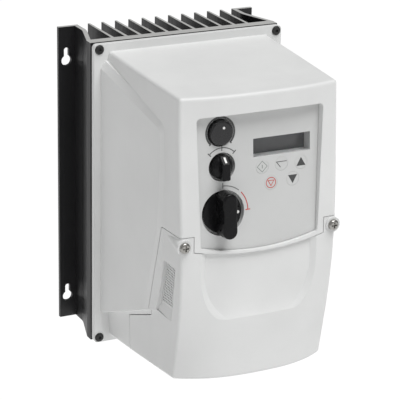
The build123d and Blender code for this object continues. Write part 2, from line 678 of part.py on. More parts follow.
# ---------------------------------------------------------------- side grilles
HOLE_ROWS, HOLE_COLUMNS = 15, 7
HOLE_PITCH_Z, HOLE_PITCH_Y = 2.15, 2.4
HOLE_HIGH, HOLE_WIDE = 1.2, 1.5
GRILLE_LEAN = 12              # degrees the rows step back going down
for name, side in (("side_grille_left", -1), ("side_grille_right", 1)):
    with BuildPart() as grille:
        with BuildSketch(Plane.YZ.offset(side * GRILLE_BACK_X)):
            Rectangle(400, 400)
        extrude(amount=side * (GRILLE_FRONT_X - GRILLE_BACK_X))
        # lip that slopes out to the cover's face along the bottom
        with BuildSketch(Plane.XZ):
            Polygon((side * (GRILLE_FRONT_X - 0.5), -48.0), (side * 61.3, -58.0),
                    (side * (GRILLE_FRONT_X - 0.5), -58.0), align=None)
        extrude(amount=200)
        add(grille_prism(0.06), mode=Mode.INTERSECT)
        with BuildSketch(Plane.YZ.offset(side * (GRILLE_BACK_X - 1))):
            with Locations(Location((-155.9, -32.5, 0), -GRILLE_LEAN)):
                with GridLocations(HOLE_PITCH_Y, HOLE_PITCH_Z, HOLE_COLUMNS, HOLE_ROWS):
                    Rectangle(HOLE_WIDE, HOLE_HIGH)
        extrude(amount=side * 4, mode=Mode.SUBTRACT)
    finish(grille, name)

# ---------------------------------------------------------------- keypad film and window
FILM_INSET = 0.35
with BuildPart() as keypad_overlay:
    with BuildSketch(panel(FLOOR_DEPTH)):
        add(recess_outline(RECESS_HALF_TOP - FILM_INSET, RECESS_HALF_LOW - FILM_INSET,
                           RECESS_TOP - FILM_INSET, RECESS_LOW_END + FILM_INSET,
                           RECESS_LOW_MIDDLE + FILM_INSET, RECESS_CORNER))
        for dish_at, dish_r in knob_dishes:
            with Locations(dish_at):
                Circle(dish_r, mode=Mode.SUBTRACT)
        with Locations(*KEYS.values()):
            Circle(KEY_R + KEY_GAP, mode=Mode.SUBTRACT)
        with Locations((WINDOW_X, WINDOW_Z)):
            Rectangle(WINDOW_WIDTH, WINDOW_HEIGHT, mode=Mode.SUBTRACT)
    extrude(amount=FILM_THICK)
finish(keypad_overlay, "keypad_overlay")

with BuildPart() as display_window:
    with BuildSketch(panel(FLOOR_DEPTH)):
        with Locations((WINDOW_X, WINDOW_Z)):
            Rectangle(WINDOW_WIDTH, WINDOW_HEIGHT)
    extrude(amount=FILM_THICK)
finish(display_window, "display_window")

# ---------------------------------------------------------------- keys
KEY_COLLAR_R = 5.8
KEY_COLLAR_FRONT = FLOOR_BACK - 0.25
KEY_COLLAR_BACK = KEY_COLLAR_FRONT - 1.0
SWITCH_TOP = KEYPAD_PCB_FRONT + 3.8
for name, place in KEYS.items():
    with BuildPart() as key:
        add(disc(KEY_COLLAR_BACK, PANEL_DEPTH, KEY_R, [place], panel))
        fillet(key.edges().filter_by(GeomType.CIRCLE).sort_by(Axis.Y)[0], 0.2)
        add(disc(KEY_COLLAR_BACK, KEY_COLLAR_FRONT, KEY_COLLAR_R, [place], panel))
        add(disc(SWITCH_TOP + KEY_TRAVEL + 0.15, KEY_COLLAR_BACK, 1.6, [place], panel))
    finish(key, name)

# ---------------------------------------------------------------- keypad board
KEYPAD_PCB_BACK = KEYPAD_PCB_FRONT - 1.6
with BuildPart() as keypad_pcb:
    with BuildSketch(panel(KEYPAD_PCB_BACK)):
        with Locations((20.25, 55.5)):
            RectangleRounded(57.5, 56, 1)
        with Locations(*KEYPAD_BOSS_POINTS):
            Circle(1.3, mode=Mode.SUBTRACT)
    extrude(amount=KEYPAD_PCB_FRONT - KEYPAD_PCB_BACK)
finish(keypad_pcb, "keypad_pcb")

with BuildPart() as keypad_screws:
    add(disc(KEYPAD_PCB_BACK - 1.4, KEYPAD_PCB_BACK, 2.2, KEYPAD_BOSS_POINTS, panel))
    add(disc(KEYPAD_PCB_BACK, KEYPAD_PCB_FRONT + 7, 0.95, KEYPAD_BOSS_POINTS, panel))
finish(keypad_screws, "keypad_screws")

with BuildPart() as tact_switches:
    with BuildSketch(panel(KEYPAD_PCB_FRONT)):
        with Locations(*KEYS.values()):
            RectangleRounded(6.0, 6.0, 0.4)
    extrude(amount=3.2)
    add(disc(KEYPAD_PCB_FRONT + 3.2, SWITCH_TOP, 1.7, KEYS.values(), panel))
finish(tact_switches, "tact_switches")

with BuildPart() as display_module:
    with BuildSketch(panel(KEYPAD_PCB_FRONT)):
        with Locations((WINDOW_X, WINDOW_Z)):
            RectangleRounded(WINDOW_WIDTH + 2, WINDOW_HEIGHT + 2, 0.5)
    extrude(amount=WELL_BACK - 0.1 - KEYPAD_PCB_FRONT)
    with BuildSketch(panel(WELL_BACK - 0.1)):
        with Locations((WINDOW_X, WINDOW_Z)):
            RectangleRounded(WINDOW_WIDTH - 1.2, WINDOW_HEIGHT - 1.2, 0.5)
    extrude(amount=-0.3, mode=Mode.SUBTRACT)
finish(display_module, "display_module")

# ---------------------------------------------------------------- knobs, shafts and what they turn
KNOB_BACK = DISH_FLOOR + 0.4
SOCKET_FRONT = KNOB_BACK + 2.0   # how far each shaft reaches into its knob
SHAFT_BACK = DISH_BACK - 6.0
shaft_places = {"speed": SPEED_AT, "selector": SELECTOR_AT, "isolator": ISOLATOR_AT}
for name, shaft_at in shaft_places.items():
    with BuildPart() as shaft:
        add(disc(SHAFT_BACK, SOCKET_FRONT, SHAFT_R, [shaft_at], panel))
    finish(shaft, name + "_shaft")

SEAL_OUTER = SHAFT_R + 1.45
with BuildPart() as shaft_seals:
    with BuildSketch(panel(DISH_BACK)):
        with Locations(*shaft_places.values()):
            Circle(SEAL_OUTER)
            Circle(SHAFT_R + 0.08, mode=Mode.SUBTRACT)
    extrude(amount=1.15)
finish(shaft_seals, "shaft_seals")

SPEED_KNOB_R = 9.2
with BuildPart() as speed_knob:
    with BuildSketch(panel(KNOB_BACK)):
        with Locations(SPEED_AT):
            Circle(SPEED_KNOB_R)
    extrude(amount=6.4, taper=4)
    fillet(speed_knob.edges().filter_by(GeomType.CIRCLE).sort_by(Axis.Y)[0], 1.3)
    add(disc(KNOB_BACK, SOCKET_FRONT, SHAFT_R, [SPEED_AT], panel), mode=Mode.SUBTRACT)
finish(speed_knob, "speed_knob")


def grip_bar(at, width, profile, edge_radius):
    """Bar across a knob. Its profile lists (height over the panel's face, distance up it)."""
    with BuildPart(mode=Mode.PRIVATE) as grip:
        with BuildSketch(panel_side(at[0])):
            Polygon(*[(out, at[1] + up) for out, up in profile], align=None)
        extrude(amount=width / 2, both=True)
        fillet(grip.edges(), edge_radius)
    return grip.part


SELECTOR_R = 8.7
SELECTOR_DOME = 3.7           # top of the domed body over the panel's face
GRIP_WIDTH = 6.2
GRIP_PROFILE = [(-2.6, 8.0), (2.6, 8.6), (7.9, 3.2), (7.6, -8.6), (-2.6, -8.0)]
with BuildPart() as selector_knob:
    add(disc(KNOB_BACK, PANEL_DEPTH + SELECTOR_DOME, SELECTOR_R, [SELECTOR_AT], panel))
    fillet(selector_knob.edges().filter_by(GeomType.CIRCLE).sort_by(Axis.Y)[0], 4.8)
    add(grip_bar(SELECTOR_AT, GRIP_WIDTH, GRIP_PROFILE, 1.0))
    add(disc(KNOB_BACK, SOCKET_FRONT, SHAFT_R, [SELECTOR_AT], panel), mode=Mode.SUBTRACT)
finish(selector_knob, "selector_knob")

ISOLATOR_R = 14.6
HANDLE_DISC_FRONT = PANEL_DEPTH - 0.8
HANDLE_FRONT = PANEL_DEPTH + 12.4
HANDLE_LENGTH, HANDLE_WIDTH = 33.4, 11.4
NOSE_REACH, NOSE_WIDTH = 12.6, 7.0
NOSE_FRONT = PANEL_DEPTH + 2.3
SCOOP_R = 25.0                # finger scoops down both sides of the bar
SCOOP_OFFSET = 29.8
LOCK_HOLE_DROP = 10.0         # small hole through the bar, below its middle
BAR_BACK = PANEL_DEPTH + 0.6
with BuildPart() as isolator_handle:
    with BuildSketch(panel(BAR_BACK)):
        with Locations(ISOLATOR_AT):
            SlotOverall(HANDLE_LENGTH, HANDLE_WIDTH, rotation=90)
    extrude(amount=HANDLE_FRONT - BAR_BACK, taper=2)
    fillet(isolator_handle.faces().sort_by(Axis.Y)[0].edges(), 1.5)
    with BuildSketch(panel(HANDLE_DISC_FRONT + 0.8)):
        with Locations((ISOLATOR_AT[0] - SCOOP_OFFSET, ISOLATOR_AT[1]),
                       (ISOLATOR_AT[0] + SCOOP_OFFSET, ISOLATOR_AT[1])):
            Circle(SCOOP_R)
    extrude(amount=20, mode=Mode.SUBTRACT)
    with BuildSketch(panel_side(ISOLATOR_AT[0] - 10)):
        with Locations((HANDLE_FRONT - PANEL_DEPTH - 5.5, ISOLATOR_AT[1] - LOCK_HOLE_DROP)):
            Circle(0.9)
    extrude(amount=20, both=True, mode=Mode.SUBTRACT)
    add(disc(KNOB_BACK, HANDLE_DISC_FRONT, ISOLATOR_R, [ISOLATOR_AT], panel))
    # the bar's foot stays inside the disc's outline until it clears the dish
    with BuildSketch(panel(HANDLE_DISC_FRONT - 1)):
        with Locations(ISOLATOR_AT):
            Circle(ISOLATOR_R - 0.2)
            Rectangle(HANDLE_WIDTH - 1.2, HANDLE_LENGTH, mode=Mode.INTERSECT)
    extrude(amount=BAR_BACK - HANDLE_DISC_FRONT + 1.6)
    # nose that points at the dial
    with BuildSketch(panel(HANDLE_DISC_FRONT - 1)):
        with Locations((ISOLATOR_AT[0] + NOSE_REACH / 2, ISOLATOR_AT[1])):
            Rectangle(NOSE_REACH, NOSE_WIDTH)
    extrude(amount=NOSE_FRONT - HANDLE_DISC_FRONT + 1, taper=4)
    add(disc(KNOB_BACK, SOCKET_FRONT, SHAFT_R, [ISOLATOR_AT], panel), mode=Mode.SUBTRACT)
finish(isolator_handle, "isolator_handle")


def switch_body(at, width, height, depth_back):
    """Panel-mounted control behind its dish, bored for the shaft."""
    with BuildPart(mode=Mode.PRIVATE) as body:
        with BuildSketch(panel(depth_back)):
            with Locations(at):
                RectangleRounded(width, height, 1.5)
        extrude(amount=DISH_BACK - depth_back)
        add(disc(SHAFT_BACK - 1, DISH_BACK, SHAFT_R + RUNNING_GAP, [at], panel),
            mode=Mode.SUBTRACT)
    return body.part


with BuildPart() as speed_potentiometer:
    add(disc(DISH_BACK - 9, DISH_BACK, 8.2, [SPEED_AT], panel))
    add(disc(SHAFT_BACK - 1, DISH_BACK, SHAFT_R + RUNNING_GAP, [SPEED_AT], panel),
        mode=Mode.SUBTRACT)
finish(speed_potentiometer, "speed_potentiometer")

with BuildPart() as selector_switch:
    add(switch_body(SELECTOR_AT, 21, 13.4, DISH_BACK - 20))
finish(selector_switch, "selector_switch")

with BuildPart() as isolator_switch:
    add(switch_body(ISOLATOR_AT, 34, 34, DISH_BACK - 38))
finish(isolator_switch, "isolator_switch")

# ---------------------------------------------------------------- power electronics on the plate
MODULE_BACK = PLATE_FRONT + 0.4
POWER_PCB_BACK = 66.5
POWER_PCB_FRONT = 68.1
with BuildPart() as thermal_pad:
    add(block((-33, 33), (PLATE_FRONT, MODULE_BACK), (-19, 29)))
finish(thermal_pad, "thermal_pad")

with BuildPart() as power_module:
    with BuildSketch(front(MODULE_BACK)):
        with Locations((0, 5)):
            RectangleRounded(88, 48, 2)
        with Locations(*MODULE_SCREW_POINTS):
            Circle(1.9, mode=Mode.SUBTRACT)
    extrude(amount=4)
    with BuildSketch(front(MODULE_BACK + 4)):
        with Locations((0, 5)):
            RectangleRounded(66, 46, 2)
    extrude(amount=POWER_PCB_BACK - MODULE_BACK - 4)
finish(power_module, "power_module")

with BuildPart() as module_screws:
    add(disc(MODULE_BACK + 4, MODULE_BACK + 6.2, 3.0, MODULE_SCREW_POINTS))
    add(disc(PLATE_FRONT - 5.5, MODULE_BACK + 4, 1.45, MODULE_SCREW_POINTS))
finish(module_screws, "module_screws")

with BuildPart() as pcb_pillars:
    with BuildSketch(front(PLATE_FRONT)):
        with Locations(*PILLAR_POINTS):
            RegularPolygon(3.4, 6)
    extrude(amount=POWER_PCB_BACK - PLATE_FRONT)
    add(disc(PLATE_FRONT - 5.5, PLATE_FRONT, 1.45, PILLAR_POINTS))
finish(pcb_pillars, "pcb_pillars")

CONTROL_POINTS = [(x, z) for x in (-46, 46) for z in (-34, 44)]
with BuildPart() as power_pcb:
    with BuildSketch(front(POWER_PCB_BACK)):
        with Locations((0, 13)):
            RectangleRounded(114, 170, 2)
        with Locations(*PILLAR_POINTS):
            Circle(1.6, mode=Mode.SUBTRACT)
    extrude(amount=POWER_PCB_FRONT - POWER_PCB_BACK)
finish(power_pcb, "power_pcb")

with BuildPart() as pcb_screws:
    add(disc(POWER_PCB_FRONT, POWER_PCB_FRONT + 1.8, 2.6, PILLAR_POINTS))
    add(disc(POWER_PCB_BACK, POWER_PCB_FRONT, 1.5, PILLAR_POINTS))
finish(pcb_screws, "pcb_screws")

with BuildPart() as bus_capacitors:
    add(disc(POWER_PCB_FRONT, POWER_PCB_FRONT + 35, 9.0, [(x, 84) for x in (-33, -11, 11, 33)]))
    fillet(bus_capacitors.edges().filter_by(GeomType.CIRCLE).group_by(Axis.Y)[0], 1.0)
finish(bus_capacitors, "bus_capacitors")

CHOKE_X, CHOKE_Z = -22.0, 46.0
CORE_BACK, CORE_FRONT = POWER_PCB_FRONT + 3.5, POWER_PCB_FRONT + 13.5
with BuildPart() as choke_core:
    add(disc(CORE_BACK, CORE_FRONT, 15.0, [(CHOKE_X, CHOKE_Z)]))
    add(disc(CORE_BACK, CORE_FRONT, 8.5, [(CHOKE_X, CHOKE_Z)]), mode=Mode.SUBTRACT)
finish(choke_core, "choke_core")

with BuildPart() as choke_windings:
    add(disc(POWER_PCB_FRONT, CORE_FRONT + 3.0, 17.5, [(CHOKE_X, CHOKE_Z)]))
    add(disc(POWER_PCB_FRONT, CORE_FRONT + 3.0, 6.0, [(CHOKE_X, CHOKE_Z)]), mode=Mode.SUBTRACT)
    add(disc(CORE_BACK, CORE_FRONT, 15.0, [(CHOKE_X, CHOKE_Z)]), mode=Mode.SUBTRACT)
    with BuildSketch(front(POWER_PCB_FRONT)):
        with Locations((CHOKE_X, CHOKE_Z)):
            Rectangle(12, 40)
    extrude(amount=20, mode=Mode.SUBTRACT)
finish(choke_windings, "choke_windings")

with BuildPart() as relays:
    with BuildSketch(front(POWER_PCB_FRONT)):
        with Locations((6, 48), (28, 48)):
            RectangleRounded(15, 19, 0.8)
    extrude(amount=15.5)
finish(relays, "relays")

TERMINAL_POLES = 7
TERMINAL_PITCH = 9.5
pole_x = [(i - (TERMINAL_POLES - 1) / 2) * TERMINAL_PITCH for i in range(TERMINAL_POLES)]
TERMINAL_FRONT = POWER_PCB_FRONT + 20
with BuildPart() as power_terminals:
    with BuildSketch(front(POWER_PCB_FRONT)):
        with Locations((0, -60)):
            Rectangle(TERMINAL_POLES * TERMINAL_PITCH, 18)
    extrude(amount=TERMINAL_FRONT - POWER_PCB_FRONT)
    with BuildSketch(Plane.XZ.offset(TERMINAL_FRONT)):
        with Locations(*[(x, -58) for x in pole_x]):
            Circle(3.0)
    extrude(amount=-9, mode=Mode.SUBTRACT)
    with BuildSketch(Plane.XY.offset(-69)):
        with Locations(*[(x, -POWER_PCB_FRONT - 6) for x in pole_x]):
            Rectangle(6.5, 6.5)
    extrude(amount=13, mode=Mode.SUBTRACT)
finish(power_terminals, "power_terminals")

with BuildPart() as terminal_screws:
    add(disc(TERMINAL_FRONT - 9, TERMINAL_FRONT - 5, 2.8, [(x, -58) for x in pole_x]))
    with BuildSketch(front(TERMINAL_FRONT - 5)):
        with Locations(*[(x, -58) for x in pole_x]):
            Rectangle(5.8, 0.9)
    extrude(amount=-1.2, mode=Mode.SUBTRACT)
finish(terminal_screws, "terminal_screws")

with BuildPart() as ground_screw:
    with BuildSketch(front(PLATE_FRONT)):
        with Locations(*GROUND_POINT):
            Circle(4.6)
    extrude(amount=1.0)
    with BuildSketch(front(PLATE_FRONT + 1.0)):
        with Locations(*GROUND_POINT):
            RegularPolygon(4.0, 6)
    extrude(amount=3.0)
    add(disc(PLATE_FRONT - 5.5, PLATE_FRONT, 1.95, GROUND_POINT))
finish(ground_screw, "ground_screw")

# ---------------------------------------------------------------- control board
CONTROL_PCB_BACK = 108.0
CONTROL_PCB_FRONT = 109.6
with BuildPart() as control_pillars:
    with BuildSketch(front(POWER_PCB_FRONT)):
        with Locations(*CONTROL_POINTS):
            RegularPolygon(3.0, 6)
    extrude(amount=CONTROL_PCB_BACK - POWER_PCB_FRONT)
finish(control_pillars, "control_pillars")

with BuildPart() as control_pcb:
    with BuildSketch(front(CONTROL_PCB_BACK)):
        with Locations((0, 5)):
            RectangleRounded(102, 88, 2)
    extrude(amount=CONTROL_PCB_FRONT - CONTROL_PCB_BACK)
finish(control_pcb, "control_pcb")

with BuildPart() as processor:
    with BuildSketch(front(CONTROL_PCB_FRONT)):
        with Locations((20, 6)):
            RectangleRounded(14, 14, 0.4)
    extrude(amount=1.4)
finish(processor, "processor")

CONTROL_POLES = 11
CONTROL_PITCH = 5.0
control_x = [-12 + (i - (CONTROL_POLES - 1) / 2) * CONTROL_PITCH for i in range(CONTROL_POLES)]
with BuildPart() as control_terminals:
    with BuildSketch(front(CONTROL_PCB_FRONT)):
        with Locations((-12, -31)):
            Rectangle(CONTROL_POLES * CONTROL_PITCH, 11)
    extrude(amount=12)
    with BuildSketch(front(CONTROL_PCB_FRONT + 12)):
        with Locations(*[(x, -29) for x in control_x]):
            Circle(1.7)
    extrude(amount=-4, mode=Mode.SUBTRACT)
    with BuildSketch(Plane.XY.offset(-36.5)):
        with Locations(*[(x, -CONTROL_PCB_FRONT - 4.5) for x in control_x]):
            Rectangle(3.2, 3.2)
    extrude(amount=8, mode=Mode.SUBTRACT)
finish(control_terminals, "control_terminals")

with BuildPart() as network_socket:
    with BuildSketch(front(CONTROL_PCB_FRONT)):
        with Locations((32, -28)):
            Rectangle(16, 17)
    extrude(amount=13.5)
    with BuildSketch(Plane.XY.offset(-36.5)):
        with Locations((32, -CONTROL_PCB_FRONT - 6.8)):
            Rectangle(12, 9)
    extrude(amount=13, mode=Mode.SUBTRACT)
finish(network_socket, "network_socket")

RIBBON_X, RIBBON_Z = 20.0, 36.0
with BuildPart() as ribbon_cable:
    with BuildSketch(Plane.YZ.offset(RIBBON_X)):
        with BuildLine():
            Spline((-KEYPAD_PCB_BACK + 0.5, RIBBON_Z), (-142, RIBBON_Z - 1), (-131, RIBBON_Z - 6),
                   (-120, RIBBON_Z - 11), (-CONTROL_PCB_FRONT - 3, RIBBON_Z - 12),
                   tangents=((1, 0), (1, 0)))
        trace(line_width=1.0)
    extrude(amount=9, both=True)
    add(block((RIBBON_X - 11, RIBBON_X + 11), (KEYPAD_PCB_BACK - 4, KEYPAD_PCB_BACK),
              (RIBBON_Z - 3, RIBBON_Z + 3), level=panel))
    add(block((RIBBON_X - 11, RIBBON_X + 11), (CONTROL_PCB_FRONT, CONTROL_PCB_FRONT + 4),
              (RIBBON_Z - 15, RIBBON_Z - 9)))
finish(ribbon_cable, "ribbon_cable")
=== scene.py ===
import json
from math import cos, pi, radians, sin

import bmesh
import bpy
from mathutils import Matrix, Vector


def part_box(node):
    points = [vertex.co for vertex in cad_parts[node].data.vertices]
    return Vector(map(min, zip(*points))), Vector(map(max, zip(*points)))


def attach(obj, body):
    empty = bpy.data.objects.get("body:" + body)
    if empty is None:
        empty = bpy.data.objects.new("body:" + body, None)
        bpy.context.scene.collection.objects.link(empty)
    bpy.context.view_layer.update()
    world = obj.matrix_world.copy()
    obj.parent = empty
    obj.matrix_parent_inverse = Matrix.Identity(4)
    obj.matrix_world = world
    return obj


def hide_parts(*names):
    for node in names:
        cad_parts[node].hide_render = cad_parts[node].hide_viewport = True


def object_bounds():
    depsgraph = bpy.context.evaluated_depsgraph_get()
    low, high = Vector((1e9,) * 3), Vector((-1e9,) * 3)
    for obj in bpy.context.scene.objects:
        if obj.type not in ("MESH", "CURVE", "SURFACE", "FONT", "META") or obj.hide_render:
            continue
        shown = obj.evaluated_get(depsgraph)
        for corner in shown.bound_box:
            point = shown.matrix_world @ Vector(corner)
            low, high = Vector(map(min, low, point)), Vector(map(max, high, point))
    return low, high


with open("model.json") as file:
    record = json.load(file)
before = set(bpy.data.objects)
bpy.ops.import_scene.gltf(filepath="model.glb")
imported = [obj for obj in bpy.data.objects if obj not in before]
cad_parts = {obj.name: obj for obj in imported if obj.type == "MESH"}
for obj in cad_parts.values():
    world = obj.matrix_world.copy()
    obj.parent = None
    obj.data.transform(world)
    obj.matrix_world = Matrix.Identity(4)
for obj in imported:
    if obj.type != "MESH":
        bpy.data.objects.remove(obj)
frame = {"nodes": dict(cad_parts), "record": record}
cad_low, cad_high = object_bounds()
nodes = frame["nodes"]
# The frame is in metres. The front faces -Y and Z is up. Numbers in mm are multiplied by MM.
MM = 0.001
scene = bpy.context.scene
collection = scene.collection


# ---------------------------------------------------------------- camera
def add_camera(azimuth, elevation, roll, distance, lens, aim):
    """Camera on a ball round the aim point. Azimuth turns from the front towards -X."""
    a, e, r = radians(azimuth), radians(elevation), radians(roll)
    back = Vector((-sin(a) * cos(e), -cos(a) * cos(e), sin(e)))
    right = Vector((cos(a), -sin(a), 0))
    up = back.cross(right)
    right, up = right * cos(r) + up * sin(r), up * cos(r) - right * sin(r)
    data = bpy.data.cameras.new("camera")
    data.sensor_width = 36
    data.lens = lens
    data.clip_start = 0.05
    data.clip_end = 20
    camera = bpy.data.objects.new("camera", data)
    collection.objects.link(camera)
    place = Matrix((right, up, back)).transposed().to_4x4()
    place.translation = aim + back * distance
    camera.matrix_world = place
    scene.camera = camera


add_camera(azimuth=26.51, elevation=19.65, roll=1.10, distance=1.43277, lens=174.97,
           aim=Vector((-0.00449, -0.090, 0.00309)))


# ---------------------------------------------------------------- material helpers
MIX_COLOUR_A, MIX_COLOUR_B, MIX_COLOUR_OUT = 6, 7, 2      # a mix node's sockets for colours


class Nodes:
    """Short way to add and link shader nodes in one new material."""

    def __init__(self, name):
        self.material = bpy.data.materials.new(name)
        self.material.use_nodes = True
        self.tree = self.material.node_tree
        self.shader = self.tree.nodes["Principled BSDF"]
        self.coords = self.tree.nodes.new("ShaderNodeTexCoord").outputs["Object"]

    def put(self, node, key, value):
        """Link another node's output to an input, or write a plain value into it."""
        if isinstance(value, bpy.types.NodeSocket):
            self.tree.links.new(value, node.inputs[key])
        else:
            node.inputs[key].default_value = value

    def add(self, kind, inputs, **settings):
        """New shader node with its settings and inputs."""
        node = self.tree.nodes.new(kind)
        for key, value in settings.items():
            setattr(node, key, value)
        for key, value in inputs.items():
            self.put(node, key, value)
        return node

    def set(self, **inputs):
        """Inputs of the material's own shader, with an underscore for each space in a name."""
        for key, value in inputs.items():
            self.put(self.shader, key.replace("_", " "), value)

    def noise(self, scale, detail=3, rough=0.55, stretch=None):
        """Noise of about 0.3 to 0.7. A low number in stretch draws it out along that axis."""
        vector = self.coords
        if stretch:
            vector = self.add("ShaderNodeMapping", {"Vector": self.coords, "Scale": stretch}).outputs[0]
        return self.add("ShaderNodeTexNoise", {"Vector": vector, "Scale": scale, "Detail": detail,
                                               "Roughness": rough}).outputs["Fac"]

    def bricks(self, scale, gap, width, height):
        """Brick pattern that faces the front, 1 in the gaps and 0 on the bricks."""
        facing = self.add("ShaderNodeMapping", {"Vector": self.coords, "Rotation": (pi / 2, 0, 0)})
        return self.add("ShaderNodeTexBrick", {"Vector": facing.outputs[0], "Scale": scale,
                                               "Mortar Size": gap, "Brick Width": width,
                                               "Row Height": height}).outputs["Fac"]

    def ramp(self, value, low, high, start=0.3, end=0.7):
        """Number between low and high as value runs from start to end."""
        return self.add("ShaderNodeMapRange", {"Value": value, "From Min": start, "From Max": end,
                                               "To Min": low, "To Max": high}).outputs[0]

    def mix(self, share, first, second):
        """Colour between two others, each an RGB tuple or another node's output."""
        node = self.add("ShaderNodeMix", {"Factor": share}, data_type="RGBA")
        for key, colour in ((MIX_COLOUR_A, first), (MIX_COLOUR_B, second)):
            self.put(node, key, (*colour, 1) if isinstance(colour, tuple) else colour)
        return node.outputs[MIX_COLOUR_OUT]

    def mottle(self, pattern, colour, darkest, lightest):
        """Colour that wanders between two tints of itself as a noise pattern does."""
        return self.mix(self.ramp(pattern, 0, 1), tint(colour, darkest), tint(colour, lightest))

    def bump(self, pattern, strength, distance, normal=None):
        """Surface relief of a height in mm, over another normal where one is given."""
        inputs = {"Height": pattern, "Strength": strength, "Distance": distance * MM}
        if normal:
            inputs["Normal"] = normal
        return self.add("ShaderNodeBump", inputs).outputs[0]

    def soft_edges(self, radius):
        """Normal that rounds every edge by this radius, in mm."""
        return self.add("ShaderNodeBevel", {"Radius": radius * MM}, samples=6).outputs[0]

    def math(self, kind, first, second):
        return self.add("ShaderNodeMath", {0: first, 1: second}, operation=kind).outputs[0]


def tint(colour, factor):
    return tuple(min(1.0, max(0.0, c * factor)) for c in colour)


# ---------------------------------------------------------------- materials
def moulded_plastic(name, colour, rough=0.42, spread=0.04, edge=0.25):
    """Moulded plastic: spark-eroded grain, slight clouding, and faint flow marks."""
    m = Nodes(name)
    m.set(Base_Color=m.mottle(m.noise(22, detail=4), colour, 1 - spread, 1 + spread / 2))
    m.set(Roughness=m.ramp(m.noise(90), rough - 0.05, rough + 0.07), IOR=1.46)
    flow = m.bump(m.noise(16, detail=2), strength=0.25, distance=0.12, normal=m.soft_edges(edge))
    grain = m.noise(2600, detail=2, rough=0.7)
    m.set(Normal=m.bump(grain, strength=0.35, distance=0.05, normal=flow))
    return m.material


SAWN_BAND = 0.1               # mm at each end of the extrusion that shows sawn metal


def painted_metal(name, colour, worn, sawn, low, high):
    """Black coating on an extrusion: die lines along it, dusty patches, and paler sawn ends."""
    m = Nodes(name)
    height = m.add("ShaderNodeSeparateXYZ", {"Vector": m.coords}).outputs["Z"]
    ends = m.math("ADD", m.math("GREATER_THAN", height, high - SAWN_BAND * MM),
                  m.math("LESS_THAN", height, low + SAWN_BAND * MM))
    saw = m.noise(700, rough=0.6, stretch=(0.05, 1, 1))
    cloud = m.noise(35, detail=5)
    lines = m.noise(900, rough=0.6, stretch=(1, 1, 0.02))
    dust = m.ramp(m.noise(260, detail=4, rough=0.7), 0, 0.3, start=0.58, end=0.8)
    coat = m.mix(dust, m.mottle(cloud, colour, 0.86, 1.18), m.mix(cloud, worn, tint(worn, 0.85)))
    m.set(Base_Color=m.mix(ends, coat, m.mix(saw, tint(sawn, 0.7), tint(sawn, 1.3))))
    m.set(Roughness=m.ramp(lines, 0.38, 0.55), Metallic=0.15, IOR=1.5)
    peel = m.bump(m.noise(1300, detail=2, rough=0.6), strength=0.22, distance=0.03)
    m.set(Normal=m.bump(lines, strength=0.3, distance=0.03, normal=peel))
    return m.material


def turned_metal(name, colour, rough=0.3, lines=1400):
    """Bright metal with fine machining lines and a little tarnish."""
    m = Nodes(name)
    m.set(Base_Color=m.mottle(m.noise(240, detail=4), colour, 0.8, 1.05))
    fine = m.noise(lines, rough=0.6, stretch=(1, 0.08, 1))
    m.set(Metallic=1.0, Roughness=m.ramp(fine, rough - 0.08, rough + 0.12))
    m.set(Normal=m.bump(fine, strength=0.25, distance=0.02))
    return m.material


def rubber(name, colour):
    """Dull rubber, thermal pad or ferrite with a fine grain."""
    m = Nodes(name)
    m.set(Base_Color=m.mottle(m.noise(120, detail=4), colour, 0.75, 1.35))
    m.set(Roughness=m.ramp(m.noise(500), 0.62, 0.82))
    m.set(Normal=m.bump(m.noise(1800, detail=2), strength=0.3, distance=0.05))
    return m.material


def film(name, colour):
    """Printed polyester keypad film with a fine satin tooth."""
    m = Nodes(name)
    m.set(Base_Color=m.mottle(m.noise(30), colour, 0.975, 1.02))
    tooth = m.noise(5200, detail=2, rough=0.8)
    m.set(Roughness=m.ramp(tooth, 0.36, 0.5), IOR=1.5)
    m.set(Normal=m.bump(tooth, strength=0.3, distance=0.012))
    return m.material


def ink(name, colour):
    """Screen-printed ink or paint: almost even, with fine speckle."""
    m = Nodes(name)
    speck = m.noise(6000, detail=2, rough=0.7)
    m.set(Base_Color=m.mottle(speck, colour, 0.85, 1.12))
    m.set(Roughness=m.ramp(speck, 0.4, 0.55))
    m.set(Normal=m.bump(speck, strength=0.2, distance=0.01))
    return m.material


PLATED_DARK, PLATED_LIGHT = (0.55, 0.5, 0.42), (0.7, 0.66, 0.6)
# Shares of the hole pattern's pitch between which the plating fades into the mask.
HOLE_EDGE, MASK_EDGE = 0.12, 0.16


def board(name, colour, track):
    """Solder mask over copper tracks, with scattered plated holes."""
    m = Nodes(name)
    tracks = m.ramp(m.bricks(120, gap=0.09, width=1.6, height=0.5), 0, 1, start=0.2, end=0.8)
    cloud = m.noise(60)
    holes = m.add("ShaderNodeTexVoronoi", {"Vector": m.coords, "Scale": 210}).outputs["Distance"]
    plated = m.ramp(holes, 1, 0, HOLE_EDGE, MASK_EDGE)
    mask = m.mix(tracks, m.mix(cloud, tint(colour, 0.8), tint(colour, 1.2)),
                 m.mix(cloud, track, tint(track, 1.2)))
    m.set(Base_Color=m.mix(plated, mask, m.mix(cloud, PLATED_DARK, PLATED_LIGHT)))
    m.set(Roughness=m.ramp(cloud, 0.25, 0.4), Metallic=m.ramp(holes, 0.9, 0, HOLE_EDGE, MASK_EDGE))
    m.set(Normal=m.bump(tracks, strength=0.5, distance=0.05))
    return m.material


def clear_window(name):
    """Thin clear polycarbonate with faint scratches in its gloss."""
    m = Nodes(name)
    scratch = m.noise(1500, rough=0.6, stretch=(0.05, 1, 1))
    m.set(Base_Color=m.mix(m.ramp(scratch, 0, 1), (0.95, 0.955, 0.96), (0.985, 0.985, 0.985)))
    m.set(Roughness=m.ramp(scratch, 0.03, 0.09), IOR=1.2, Transmission_Weight=1.0)
    return m.material


